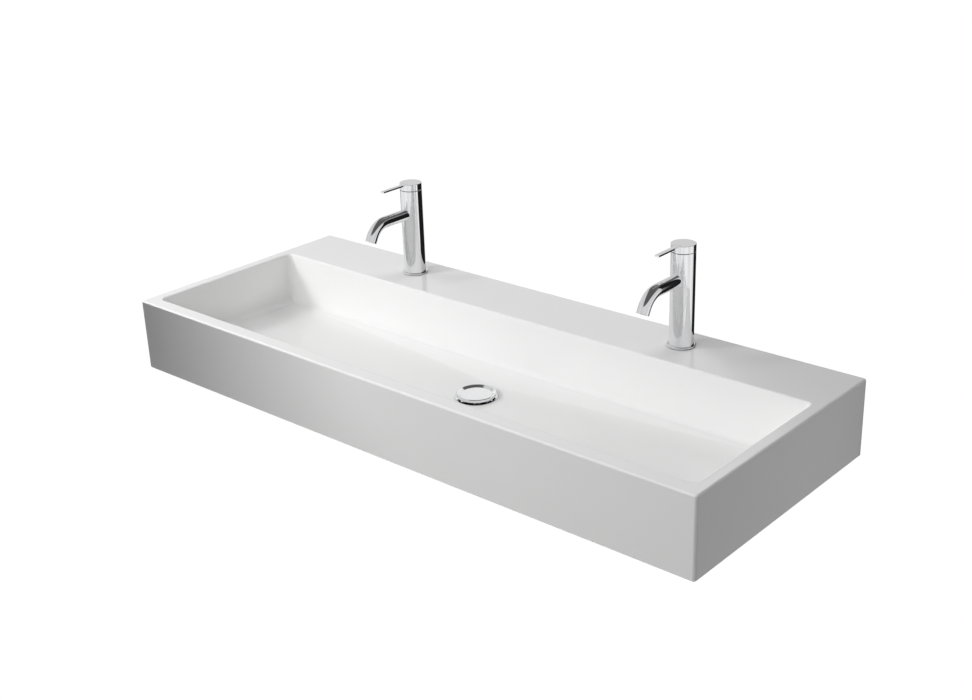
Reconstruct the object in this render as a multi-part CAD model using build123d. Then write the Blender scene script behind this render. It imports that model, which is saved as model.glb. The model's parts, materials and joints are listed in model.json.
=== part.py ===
from build123d import *

import math
import os

# Double washbasin: a ceramic trough with a tap platform, two single-lever taps and a push plug waste.
# Lengths are millimetres. X runs to the right, Y towards the wall and Z up. The origin lies on the
# wall plane, midway between the wall bolts and at their height.

# Basin
BASIN_LENGTH = 1200.0
BASIN_DEPTH = 470.0
BASIN_HEIGHT = 132.0
SIDE_RIM = 22.0
FRONT_RIM = 28.0
PLATFORM_DEPTH = 129.0
PLATFORM_THICKNESS = 15.0
BOWL_CORNER = 11.0
FLOOR_AT_WALLS = 32.0
FLOOR_AT_DRAIN = 19.0
FLOOR_THICKNESS = 12.0
FLOOR_FILLET = 9.0
FLOOR_MIDDLE_ROUNDING = 0.27
OUTER_CORNER = 5.0
OUTER_EDGE = 4.0
RIM_INNER_EDGE = 2.8
BASE_EDGE = 2.0
BACK_WALL = 16.0
BOWL_BACK_WALL = 14.0
RIB_THICKNESS = 12.0
RIB_SPACING = 420.0

# Fixing to the wall
WALL_BOLT_HEIGHT = 85.0
WALL_BOLT_SPACINGS = (280.0, 840.0)
WALL_HOLE_R = 7.0

# Drain in the basin
DRAIN_FROM_WALL = 230.0
DRAIN_HOLE_R = 23.0
DRAIN_LAND_R = 50.0
DRAIN_LAND_CORNER = 49.0
DRAIN_BOSS_R = 40.0
FLANGE_RECESS_DEPTH = 5.0

# Places and holes of the taps
TAP_SPACING = 600.0
TAP_FROM_WALL = 59.0
TAP_HOLE_R = 17.5

# Foot ring and column, heights above the platform
RING_R = 24.0
RING_TOP = 3.5
RING_EDGE = 1.2
RING_BORE_R = 17.2
SEAL_THICKNESS = 0.8
SEAL_INSET = 0.8
COLUMN_R = 20.5
CHAMBER_R = 17.7
CHAMBER_DEPTH = 34.0
PARTITION_THICKNESS = 30.0
LOWER_BORE_R = 15.5

# Handle
TAP_HEIGHT = 175.0
HANDLE_HEIGHT = 13.0
HANDLE_GAP = 1.1
HANDLE_EDGE = 0.5
HANDLE_TOP_THICKNESS = 4.7
SEAT_CLEARANCE = 0.3
HANDLE_BOSS_R = 7.0
LEVER_WIDTH = 8.5
LEVER_THICKNESS = 3.0
LEVER_REACH = 74.0
LEVER_ROOT = 12.0
LEVER_EDGE = 0.6
GRUB_R = 2.0
GRUB_HEX = 2.0
GRUB_SOCKET = 1.5
GRUB_DEPTH = 8.0
GRUB_ACCESS_R = 2.3

# Spout
SPOUT_R = 10.6
SPOUT_BORE_R = 7.2
SPOUT_DROP = 58.0
SPOUT_STRAIGHT = 72.0
SPOUT_BEND_R = 38.0
SPOUT_BEND_ANGLE = 62.0
SPOUT_END = 10.0
SPOUT_ROOT = 13.0
SOCKET_CLEARANCE = 0.05
MOUTH_R = 9.2
MOUTH_DEPTH = 8.0
AERATOR_BORE_R = 7.6
AERATOR_RECESS = 0.8
AERATOR_INSERT_DEPTH = 1.0
AERATOR_INSERT_THICKNESS = 4.0
AERATOR_JET_R = 0.7
AERATOR_JET_CIRCLES = ((2.6, 6), (5.2, 12))

# Inlets under the tap
BLOCK_R = 16.8
BLOCK_TOP = 22.0
BLOCK_BOTTOM = -14.0
INLET_SPREAD = 7.5
INLET_Y = -5.0
NIPPLE_R = 6.0
NIPPLE_BORE_R = 4.5
NIPPLE_TOP = 10.0
NIPPLE_BOTTOM = -30.0
NIPPLE_GROOVE_R = 5.2
NIPPLE_GROOVE = 1.5
FEED_SPREAD = 5.5
FEED_R = 3.5
FEED_BORE_R = 2.5
FEED_SEAT = 6.0
FIT = 0.02

# Clamping under the platform
STUD_R = 4.0
STUD_Y = 10.5
STUD_BOTTOM = -60.0
STUD_TOP = 12.0
HORSESHOE_R = 27.0
HORSESHOE_SLOT = 30.0
HORSESHOE_SLOT_END = 2.0
PAD_THICKNESS = 3.0
PLATE_THICKNESS = 2.5
STUD_HOLE_CLEARANCE = 0.4
NUT_HEIGHT = 6.5
NUT_FLATS = 13.0

# Mixing cartridge, whose depths are measured down from the top of the column
PIVOT_DEPTH = 8.0
PORT_SEAL_HEIGHT = 1.0
PORT_SEAL_WIDTH = 1.4
CARTRIDGE_R = 17.5
CARTRIDGE_BORE_R = 13.0
CARTRIDGE_FLOOR = 3.0
CARTRIDGE_DEPTH = 10.0
FIXED_DISC_THICKNESS = 3.0
INLET_PORT_R = 1.8
OUTLET_PORT_R = 2.6
OUTLET_Y = 4.0
MOVING_DISC_R = 11.0
MOVING_DISC_THICKNESS = 3.5
MOVING_DISC_Y = 1.9
MIXING_POCKET_DEPTH = 1.5
MIXING_POCKET_WIDTH = 14.8
MIXING_POCKET_LENGTH = 13.0
MIXING_POCKET_CORNER = 3.0
MIXING_POCKET_SHIFT = 1.5
CARRIER_R = 5.4
CARRIER_BORE_R = 2.9
CARRIER_HEIGHT = 7.3
TURRET_CLEARANCE = 0.05
TURRET_NECK_R = 11.5
TURRET_RISE = 3.5
TURRET_FOOT_GAP = 0.1
DISC_SIDE_CLEARANCE = 0.1
PIN_R = 2.0
PIN_HALF_LENGTH = 11.0
PIN_RUNNING = 0.05
SPINDLE_R = 4.5
SPINDLE_COVER = 4.0
SPINDLE_SHOULDER = 5.0
SPINDLE_ARM = 10.0
SPINDLE_ARM_R = 2.0
SPINDLE_BALL_R = 2.7
SPINDLE_SIDE_CLEARANCE = 0.2
SPINDLE_SLOT = 15.0
NUT_RING_DEPTH = 4.0
NUT_RING_BORE_R = 11.7
NUT_RING_NOTCH = 2.0
COVER_FLANGE = 3.0
COVER_RISE = 1.0
COVER_LIP = 1.5
COVER_BORE_R = 12.8
COVER_R = 17.6
LIFT_TRAVEL = 22.0

# Waste, heights above the underside of the basin
WASTE_FLANGE_R = 36.5
WASTE_DISH_R = 34.8
WASTE_DISH_FLOOR = 16.4
WASTE_SEAL_THICKNESS = 1.0
WASTE_SEAL_R = 35.0
WASTE_SEAL_BORE_R = 24.0
WASTE_TAIL_R = 20.95
WASTE_BORE_R = 18.5
WASTE_TAIL_BOTTOM = -45.0
WASTE_GROOVE_R = 20.0
WASTE_GROOVE = 2.0
WASTE_BAR_WIDTH = 5.0
WASTE_BAR_TOP = -2.0
WASTE_BAR_HEIGHT = 6.0
WASTE_HUB_R = 7.5
BOTTOM_SEAL_R = 32.0
BOTTOM_SEAL_THICKNESS = 4.0
BACKNUT_FLATS = 60.0
BACKNUT_HEIGHT = 10.0

# Push plug, shown open
PLUG_R = 34.0
PLUG_LIFT = 3.0
PLUG_THICKNESS = 5.0
PLUG_EDGE = 0.8
PLUG_RIM = 2.5
PLUG_DISH_R = 26.5
PLUG_DISH_DEPTH = 3.3
PLUG_BOSS_R = 7.0
PLUG_BOSS_DEPTH = 6.0
PLUG_TRAVEL = 4.7
PLUG_SEAL_R = 31.0
PLUG_SEAL_BORE_R = 27.5
PLUG_SEAL_GROOVE = 0.6
PLUG_SEAL_SEAT_GAP = 0.1
STEM_R = 4.0
STEM_RUNNING = 0.05
STEM_BOTTOM = -24.0
GUIDE_R = 5.2
GUIDE_HEAD_R = 7.0
GUIDE_HEAD = 2.0
GUIDE_BOTTOM = -30.0
SPRING_R = 6.4
SPRING_WIRE = 1.0
SPRING_TURNS = 4.5

# Heights and edges that follow
BASE_Z = -WALL_BOLT_HEIGHT
RIM_Z = BASE_Z + BASIN_HEIGHT
BOWL_HALF = BASIN_LENGTH / 2 - SIDE_RIM
BOWL_FRONT = FRONT_RIM - BASIN_DEPTH
BOWL_BACK = -PLATFORM_DEPTH
COLUMN_TOP = TAP_HEIGHT - HANDLE_HEIGHT
CHAMBER_FLOOR = COLUMN_TOP - CHAMBER_DEPTH
PARTITION_BOTTOM = CHAMBER_FLOOR - PARTITION_THICKNESS
SPOUT_HEIGHT = TAP_HEIGHT - SPOUT_DROP
HANDLE_BOTTOM = COLUMN_TOP + HANDLE_GAP
HANDLE_ROOF = TAP_HEIGHT - HANDLE_TOP_THICKNESS
GRUB_HEIGHT = TAP_HEIGHT - GRUB_DEPTH
PIVOT_HEIGHT = COLUMN_TOP - PIVOT_DEPTH
SPINDLE_TOP = TAP_HEIGHT - SPINDLE_COVER
SEAT_R = math.hypot(COLUMN_R, COLUMN_TOP - PIVOT_HEIGHT) + SEAT_CLEARANCE
NUT_RING_TOP = COLUMN_TOP - NUT_RING_DEPTH
CARTRIDGE_TOP = COLUMN_TOP - CARTRIDGE_DEPTH
TURRET_TOP = PIVOT_HEIGHT + TURRET_RISE
COVER_FLANGE_TOP = NUT_RING_TOP + COVER_FLANGE
COVER_TOP = COLUMN_TOP + COVER_RISE
CARTRIDGE_BOTTOM = CHAMBER_FLOOR + PORT_SEAL_HEIGHT
FIXED_DISC_BOTTOM = CARTRIDGE_BOTTOM + CARTRIDGE_FLOOR
DISC_PLANE = FIXED_DISC_BOTTOM + FIXED_DISC_THICKNESS
CARRIER_BOTTOM = DISC_PLANE + MOVING_DISC_THICKNESS
DISC_TRAVEL = SPINDLE_ARM * math.sin(math.radians(LIFT_TRAVEL))
PAD_TOP = -PLATFORM_THICKNESS
PLATE_TOP = PAD_TOP - PAD_THICKNESS
NUT_TOP = PLATE_TOP - PLATE_THICKNESS
PLUG_BOTTOM = FLOOR_AT_DRAIN + PLUG_LIFT
PLUG_TOP = PLUG_BOTTOM + PLUG_THICKNESS
GUIDE_TOP = WASTE_BAR_TOP + GUIDE_HEAD

THROUGH = 1.0
LOW = (Align.CENTER, Align.CENTER, Align.MIN)


def rod(radius, low, high, x=0.0, y=0.0):
    """A round bar along Z between two heights."""
    return Pos(x, y, low) * Cylinder(radius, high - low, align=LOW)


def ring(outer, inner, low, high, x=0.0, y=0.0):
    """A plain ring about a vertical axis."""
    return rod(outer, low, high, x, y) - rod(inner, low - THROUGH, high + THROUGH, x, y)


def block(x_range, y_range, z_range):
    """A box between three pairs of limits."""
    spans = (x_range, y_range, z_range)
    middle = [(low + high) / 2 for low, high in spans]
    size = [high - low for low, high in spans]
    return Pos(*middle) * Box(*size)


def bar_to_front(radius, start, end, z, x=0.0):
    """A round bar that runs from y = start towards the front, to y = end."""
    return Pos(x, start, z) * Rot(90, 0, 0) * Cylinder(radius, start - end, align=LOW)


def bar_across(radius, half_length, y, z):
    """A round bar along X, centred on the middle plane."""
    return Pos(0, y, z) * Rot(0, 90, 0) * Cylinder(radius, 2 * half_length)


def turned(corners):
    """A solid of revolution about Z, from its corners as (radius, height)."""
    outline = Polyline(*[(radius, 0, height) for radius, height in corners], close=True)
    return revolve(make_face(outline), axis=Axis.Z)


def hexagon(flats, low, high, x=0.0, y=0.0):
    """A hexagonal prism, given across its flats."""
    outline = Pos(x, y, low) * RegularPolygon(flats / 2, 6, major_radius=False)
    return extrude(outline, high - low)


def top_edges(solid):
    """The edges that lie at a solid's greatest height."""
    return solid.edges().group_by(Axis.Z)[-1]


def group(*solids):
    """Several separate solids held as one sub-part."""
    return Compound(children=list(solids))


# Basin

def above_base(height):
    """The height in the part's frame of a level measured from the basin's underside."""
    return BASE_Z + height


def bowl_outline(height):
    """The bowl's plan at a height above the underside, as a rounded rectangle."""
    centre = Pos(0, (BOWL_BACK + BOWL_FRONT) / 2, above_base(height))
    return centre * RectangleRounded(2 * BOWL_HALF, BOWL_BACK - BOWL_FRONT, BOWL_CORNER)


def between(start, end, share):
    """The value a share of the way from one value to another."""
    return start + (end - start) * share


def floor_section(share, corner, drop):
    """The floor's plan at a share of the way from the foot of the walls to the drain."""
    width = between(2 * (BOWL_HALF - FLOOR_FILLET), 2 * DRAIN_LAND_R, share)
    depth = between(BOWL_BACK - BOWL_FRONT - 2 * FLOOR_FILLET, 2 * DRAIN_LAND_R, share)
    y = between((BOWL_BACK + BOWL_FRONT) / 2, -DRAIN_FROM_WALL, share)
    height = between(FLOOR_AT_WALLS, FLOOR_AT_DRAIN, share) - drop
    return Pos(0, y, above_base(height)) * RectangleRounded(width, depth, corner)


def floor_hollow(drop=0.0):
    """The shallow hollow by which the floor falls to the drain, as it is or lowered."""
    middle_corner = (BOWL_BACK - BOWL_FRONT) * FLOOR_MIDDLE_ROUNDING
    sections = (
        floor_section(1.0, DRAIN_LAND_CORNER, drop),
        floor_section(0.5, middle_corner, drop),
        floor_section(0.0, BOWL_CORNER - FLOOR_FILLET, drop),
    )
    return loft(sections)


def bowl_space():
    """The whole hollow of the bowl, with upright walls and a floor that falls to the drain."""
    upright = extrude(bowl_outline(FLOOR_AT_WALLS), BASIN_HEIGHT - FLOOR_AT_WALLS + THROUGH)
    upright = fillet(upright.edges().group_by(Axis.Z)[0], FLOOR_FILLET)
    return upright + floor_hollow()


def bowl_underside():
    """The recess under the bowl, which leaves the floor an even thickness and a boss at the drain."""
    high = FLOOR_AT_WALLS - FLOOR_THICKNESS
    recess = extrude(bowl_outline(-THROUGH), high + THROUGH)
    boss = rod(DRAIN_BOSS_R, above_base(-2 * THROUGH), above_base(high + THROUGH), y=-DRAIN_FROM_WALL)
    return recess - floor_hollow(FLOOR_THICKNESS) - boss


def platform_underside():
    """The space behind the bowl for the taps' fixings, with two ribs left across it."""
    back = -BACK_WALL
    front = BOWL_BACK + BOWL_BACK_WALL
    top = RIM_Z - PLATFORM_THICKNESS
    space = block((-BOWL_HALF, BOWL_HALF), (front, back), (BASE_Z - THROUGH, top))
    for side in (-1, 1):
        middle = side * RIB_SPACING / 2
        width = (middle - RIB_THICKNESS / 2, middle + RIB_THICKNESS / 2)
        space -= block(width, (front - THROUGH, back + THROUGH), (BASE_Z - 2 * THROUGH, top + THROUGH))
    return space


def basin():
    """The ceramic body."""
    centre = Pos(0, -BASIN_DEPTH / 2, BASE_Z)
    body = extrude(centre * RectangleRounded(BASIN_LENGTH, BASIN_DEPTH, OUTER_CORNER), BASIN_HEIGHT)
    body = fillet(top_edges(body), OUTER_EDGE)
    body = chamfer(body.edges().group_by(Axis.Z)[0], BASE_EDGE)
    body -= bowl_space()
    inner_rim = [edge for edge in top_edges(body) if abs(edge.center().X) < BOWL_HALF + 0.5
                 and BOWL_FRONT - 0.5 < edge.center().Y < BOWL_BACK + 0.5]
    body = fillet(inner_rim, RIM_INNER_EDGE)
    body -= bowl_underside()
    body -= platform_underside()
    flange_floor = above_base(FLOOR_AT_DRAIN - FLANGE_RECESS_DEPTH)
    body -= rod(WASTE_FLANGE_R + 0.5, flange_floor, RIM_Z, y=-DRAIN_FROM_WALL)
    body -= rod(DRAIN_HOLE_R, BASE_Z - THROUGH, RIM_Z, y=-DRAIN_FROM_WALL)
    for side in (-1, 1):
        body -= rod(TAP_HOLE_R, 0, RIM_Z + THROUGH, side * TAP_SPACING / 2, -TAP_FROM_WALL)
        for spacing in WALL_BOLT_SPACINGS:
            body -= bar_to_front(WALL_HOLE_R, THROUGH, -BACK_WALL - THROUGH, 0, side * spacing / 2)
    return body


# Tap, about its own axis, with z = 0 on the platform and the spout towards -Y

def base_seal():
    """Rubber seal under the foot ring."""
    return ring(RING_R - SEAL_INSET, RING_BORE_R + SEAL_INSET, 0, SEAL_THICKNESS)


def base_ring():
    """Foot ring with a rounded upper edge."""
    body = ring(RING_R, RING_BORE_R, SEAL_THICKNESS, RING_TOP)
    outer = top_edges(body).sort_by(SortBy.RADIUS)[-1]
    return fillet(outer, RING_EDGE)


def column():
    """Pillar body: hollow foot, partition with waterways, spout socket and cartridge chamber."""
    body = rod(COLUMN_R, RING_TOP, COLUMN_TOP)
    body -= rod(CHAMBER_R, CHAMBER_FLOOR, COLUMN_TOP + THROUGH)
    body -= rod(LOWER_BORE_R, RING_TOP - THROUGH, PARTITION_BOTTOM)
    body -= rod(BLOCK_R + FIT, RING_TOP - THROUGH, BLOCK_TOP)
    for side in (-1, 1):
        x = side * FEED_SPREAD
        body -= rod(FEED_R + FIT, PARTITION_BOTTOM - THROUGH, PARTITION_BOTTOM + FEED_SEAT, x, INLET_Y)
        body -= rod(FEED_BORE_R, PARTITION_BOTTOM, CHAMBER_FLOOR + THROUGH, x, INLET_Y)
    body -= rod(OUTLET_PORT_R, SPOUT_HEIGHT, CHAMBER_FLOOR + THROUGH, y=OUTLET_Y)
    body -= bar_to_front(OUTLET_PORT_R, OUTLET_Y + OUTLET_PORT_R, -SPOUT_ROOT - THROUGH, SPOUT_HEIGHT)
    body -= bar_to_front(SPOUT_R + SOCKET_CLEARANCE, -SPOUT_ROOT, -COLUMN_R - THROUGH, SPOUT_HEIGHT)
    return body


def inlet_block():
    """Brass block in the column's foot, with seats for the nipples, the feed tubes and the stud."""
    body = rod(BLOCK_R, BLOCK_BOTTOM, BLOCK_TOP)
    for side in (-1, 1):
        body -= rod(NIPPLE_R + FIT, BLOCK_BOTTOM - THROUGH, NIPPLE_TOP, side * INLET_SPREAD, INLET_Y)
        body -= rod(FEED_R + FIT, BLOCK_TOP - FEED_SEAT, BLOCK_TOP + THROUGH, side * FEED_SPREAD, INLET_Y)
        body -= rod(FEED_BORE_R, NIPPLE_TOP - THROUGH, BLOCK_TOP, side * FEED_SPREAD, INLET_Y)
    body -= rod(STUD_R + FIT, BLOCK_BOTTOM - THROUGH, STUD_TOP, y=STUD_Y)
    return body


def inlet_nipples():
    """Cold and hot inlet nipples, for the supply hoses."""
    groove_top = BLOCK_BOTTOM
    groove_bottom = groove_top - NIPPLE_GROOVE
    pair = []
    for side in (-1, 1):
        x = side * INLET_SPREAD
        nipple = ring(NIPPLE_R, NIPPLE_BORE_R, NIPPLE_BOTTOM, NIPPLE_TOP, x, INLET_Y)
        nipple -= ring(NIPPLE_R + THROUGH, NIPPLE_GROOVE_R, groove_bottom, groove_top, x, INLET_Y)
        pair.append(nipple)
    return group(*pair)


def feed_tubes():
    """Two tubes from the inlet block up to the partition."""
    low = BLOCK_TOP - FEED_SEAT
    high = PARTITION_BOTTOM + FEED_SEAT
    pair = [ring(FEED_R, FEED_BORE_R, low, high, side * FEED_SPREAD, INLET_Y) for side in (-1, 1)]
    return group(*pair)


def mounting_stud():
    """Threaded rod that pulls the tap down."""
    return chamfer(rod(STUD_R, STUD_BOTTOM, STUD_TOP, y=STUD_Y).edges(), 0.6)


def horseshoe(thickness, top):
    """A round plate with a slot open to the front, which slips round the inlets."""
    body = rod(HORSESHOE_R, top - thickness, top)
    half = HORSESHOE_SLOT / 2
    body -= block((-half, half), (-HORSESHOE_R - THROUGH, HORSESHOE_SLOT_END),
                  (top - thickness - THROUGH, top + THROUGH))
    return body - rod(STUD_R + STUD_HOLE_CLEARANCE, top - thickness - THROUGH, top + THROUGH, y=STUD_Y)


def fixing_pad():
    """Rubber horseshoe under the platform."""
    return horseshoe(PAD_THICKNESS, PAD_TOP)


def fixing_plate():
    """Steel horseshoe under the pad."""
    return horseshoe(PLATE_THICKNESS, PLATE_TOP)


def fixing_nut():
    """Hexagon nut on the stud."""
    nut = hexagon(NUT_FLATS, NUT_TOP - NUT_HEIGHT, NUT_TOP, y=STUD_Y)
    return nut - rod(STUD_R + FIT, NUT_TOP - NUT_HEIGHT - THROUGH, NUT_TOP + THROUGH, y=STUD_Y)


def spout_path(start):
    """The spout's centre line from y = -start: straight, bent down, and a short straight end."""
    run = Line((-start, SPOUT_HEIGHT), (-SPOUT_STRAIGHT, SPOUT_HEIGHT))
    bend = JernArc(run @ 1, (-1, 0), SPOUT_BEND_R, SPOUT_BEND_ANGLE)
    leg = Line(bend @ 1, bend @ 1 + (bend % 1) * SPOUT_END)
    return Plane.YZ * (run + bend + leg)


def mouth_plane():
    """The plane of the spout's mouth, with its normal pointing out of it."""
    path = spout_path(SPOUT_ROOT)
    return Plane(origin=path @ 1, x_dir=(1, 0, 0), z_dir=path % 1)


def along_spout(radius, start):
    """A round bar that follows the spout's centre line."""
    path = spout_path(start)
    section = Plane(origin=path @ 0, z_dir=path % 0) * Circle(radius)
    return sweep(section, path=path.wires()[0])


def spout():
    """Bent spout tube with a wider mouth for the aerator."""
    body = along_spout(SPOUT_R, SPOUT_ROOT)
    body -= along_spout(SPOUT_BORE_R, SPOUT_ROOT - THROUGH)
    return body - mouth_plane() * rod(MOUTH_R, -MOUTH_DEPTH, THROUGH)


def aerator_housing():
    """Threaded sleeve that holds the aerator in the mouth."""
    return mouth_plane() * ring(MOUTH_R - FIT, AERATOR_BORE_R, -MOUTH_DEPTH, -AERATOR_RECESS)


def aerator_insert():
    """Perforated insert that mixes air into the jet."""
    face = -AERATOR_RECESS - AERATOR_INSERT_DEPTH
    back = face - AERATOR_INSERT_THICKNESS
    body = rod(AERATOR_BORE_R - FIT, back, face)
    jets = [rod(AERATOR_JET_R, back - THROUGH, face + THROUGH)]
    for radius, count in AERATOR_JET_CIRCLES:
        for index in range(count):
            angle = 2 * math.pi * index / count
            x = radius * math.cos(angle)
            y = radius * math.sin(angle)
            jets.append(rod(AERATOR_JET_R, back - THROUGH, face + THROUGH, x, y))
    return mouth_plane() * (body - jets)


def ports(low, high):
    """The two inlet passages and the outlet passage through a piece of the cartridge."""
    passages = [rod(INLET_PORT_R, low, high, side * FEED_SPREAD, INLET_Y) for side in (-1, 1)]
    passages.append(rod(OUTLET_PORT_R, low, high, y=OUTLET_Y))
    return passages


def cartridge_body():
    """Cup of the mixing cartridge, with the ports in its floor."""
    body = rod(CARTRIDGE_R, CARTRIDGE_BOTTOM, CARTRIDGE_TOP)
    body -= rod(CARTRIDGE_BORE_R, FIXED_DISC_BOTTOM, CARTRIDGE_TOP + THROUGH)
    return body - ports(CARTRIDGE_BOTTOM - THROUGH, FIXED_DISC_BOTTOM + THROUGH)


def cartridge_seals():
    """Three port seals under the cartridge."""
    places = [(side * FEED_SPREAD, INLET_Y, FEED_BORE_R) for side in (-1, 1)]
    places.append((0.0, OUTLET_Y, OUTLET_PORT_R))
    seals = [ring(bore + PORT_SEAL_WIDTH, bore, CHAMBER_FLOOR, CARTRIDGE_BOTTOM, x, y)
             for x, y, bore in places]
    return group(*seals)


def fixed_disc():
    """Ceramic disc with the three ports."""
    body = rod(CARTRIDGE_BORE_R - 0.1, FIXED_DISC_BOTTOM, DISC_PLANE)
    return body - ports(FIXED_DISC_BOTTOM - THROUGH, DISC_PLANE + THROUGH)


def moving_disc():
    """Ceramic disc with a mixing pocket below, and the carrier that the spindle's ball drives."""
    body = rod(MOVING_DISC_R, DISC_PLANE, CARRIER_BOTTOM, y=MOVING_DISC_Y)
    outline = RectangleRounded(MIXING_POCKET_WIDTH, MIXING_POCKET_LENGTH, MIXING_POCKET_CORNER)
    pocket = Pos(0, MOVING_DISC_Y + MIXING_POCKET_SHIFT, DISC_PLANE) * outline
    body -= extrude(pocket, MIXING_POCKET_DEPTH)
    body += rod(CARRIER_R, CARRIER_BOTTOM, CARRIER_BOTTOM + CARRIER_HEIGHT)
    return body - rod(CARRIER_BORE_R, CARRIER_BOTTOM, CARRIER_BOTTOM + CARRIER_HEIGHT + THROUGH)


def turret():
    """Rotor that turns with the handle, straddles the moving disc and holds the cross pin."""
    flange_r = CARTRIDGE_BORE_R - TURRET_CLEARANCE
    foot = DISC_PLANE + TURRET_FOOT_GAP
    flange_top = CARTRIDGE_TOP - TURRET_FOOT_GAP
    carrier_top = CARRIER_BOTTOM + CARRIER_HEIGHT
    body = rod(flange_r, foot, flange_top) + rod(TURRET_NECK_R, flange_top, TURRET_TOP)
    half = MOVING_DISC_R + DISC_SIDE_CLEARANCE
    body -= block((-half, half), (-flange_r - 1, flange_r + 1), (foot - THROUGH, CARRIER_BOTTOM + 0.2))
    half = CARRIER_R + SEAT_CLEARANCE
    reach = (-CARRIER_R - DISC_TRAVEL - 0.5, CARRIER_R + 0.5)
    body -= block((-half, half), reach, (CARRIER_BOTTOM, carrier_top + 0.5))
    half = SPINDLE_R + SPINDLE_SIDE_CLEARANCE
    reach = (-SPINDLE_SLOT / 2, SPINDLE_SLOT / 2)
    body -= block((-half, half), reach, (CARRIER_BOTTOM, TURRET_TOP + THROUGH))
    return body - bar_across(PIN_R + FIT, CARTRIDGE_BORE_R, 0, PIVOT_HEIGHT)


def cross_pin():
    """Pin on which the spindle tilts."""
    return bar_across(PIN_R, PIN_HALF_LENGTH, 0, PIVOT_HEIGHT)


def spindle():
    """Lever arm of the cartridge: shank up into the handle, thin arm and ball down to the disc."""
    ball = PIVOT_HEIGHT - SPINDLE_ARM
    body = rod(SPINDLE_R, PIVOT_HEIGHT - SPINDLE_SHOULDER, SPINDLE_TOP)
    body += rod(SPINDLE_ARM_R, ball, PIVOT_HEIGHT - SPINDLE_SHOULDER)
    body += Pos(0, 0, ball) * Sphere(SPINDLE_BALL_R)
    return body - bar_across(PIN_R + PIN_RUNNING, SPINDLE_R + THROUGH, 0, PIVOT_HEIGHT)


def cartridge_nut():
    """Ring nut that clamps the cartridge and keeps the turret down."""
    body = ring(CHAMBER_R - FIT, NUT_RING_BORE_R, CARTRIDGE_TOP, NUT_RING_TOP)
    for side in (-1, 1):
        for x, y in ((side * CHAMBER_R, 0.0), (0.0, side * CHAMBER_R)):
            body -= block((x - NUT_RING_NOTCH, x + NUT_RING_NOTCH),
                          (y - NUT_RING_NOTCH, y + NUT_RING_NOTCH),
                          (NUT_RING_TOP - NUT_RING_NOTCH, NUT_RING_TOP + THROUGH))
    return body


def cartridge_cover():
    """Low domed cover over the nut."""
    return turned([
        (COVER_BORE_R, NUT_RING_TOP),
        (COVER_R, NUT_RING_TOP),
        (COVER_R, COVER_FLANGE_TOP),
        (COVER_BORE_R + COVER_LIP, COVER_TOP),
        (COVER_BORE_R, COVER_TOP),
    ])


def handle_cap():
    """Round handle whose underside is a spherical seat about the lift pivot, so that it can tilt."""
    body = rod(COLUMN_R, HANDLE_BOTTOM, TAP_HEIGHT)
    body = fillet(top_edges(body), HANDLE_EDGE)
    reach = (-SEAT_R, SEAT_R)
    seat = Pos(0, 0, PIVOT_HEIGHT) * Sphere(SEAT_R) & block(reach, reach, (PIVOT_HEIGHT, HANDLE_ROOF))
    body -= seat
    body += rod(HANDLE_BOSS_R, HANDLE_BOTTOM, HANDLE_ROOF)
    body -= rod(SPINDLE_R + FIT, HANDLE_BOTTOM - THROUGH, SPINDLE_TOP)
    body -= bar_to_front(GRUB_R + FIT, HANDLE_BOSS_R + THROUGH, 0, GRUB_HEIGHT)
    body -= bar_to_front(GRUB_ACCESS_R, COLUMN_R + THROUGH, HANDLE_BOSS_R + THROUGH, GRUB_HEIGHT)
    half = LEVER_WIDTH / 2
    slot = block((-half, half), (-COLUMN_R - THROUGH, -LEVER_ROOT),
                 (TAP_HEIGHT - LEVER_THICKNESS, TAP_HEIGHT + THROUGH))
    return body - slot


def lever():
    """Flat bar let into the top of the handle."""
    half = LEVER_WIDTH / 2
    bar = block((-half, half), (-LEVER_REACH, -LEVER_ROOT), (TAP_HEIGHT - LEVER_THICKNESS, TAP_HEIGHT))
    tip = bar.faces().sort_by(Axis.Y)[0].edges()
    return fillet(tip, LEVER_EDGE)


def grub_screw():
    """Set screw that grips the spindle from behind."""
    body = bar_to_front(GRUB_R, HANDLE_BOSS_R, SPINDLE_R, GRUB_HEIGHT)
    socket = extrude(RegularPolygon(GRUB_HEX / 2, 6, major_radius=False), GRUB_SOCKET)
    return body - Pos(0, HANDLE_BOSS_R, GRUB_HEIGHT) * Rot(90, 0, 0) * socket


# Waste, about its own axis, with z = 0 on the underside of the basin

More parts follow.
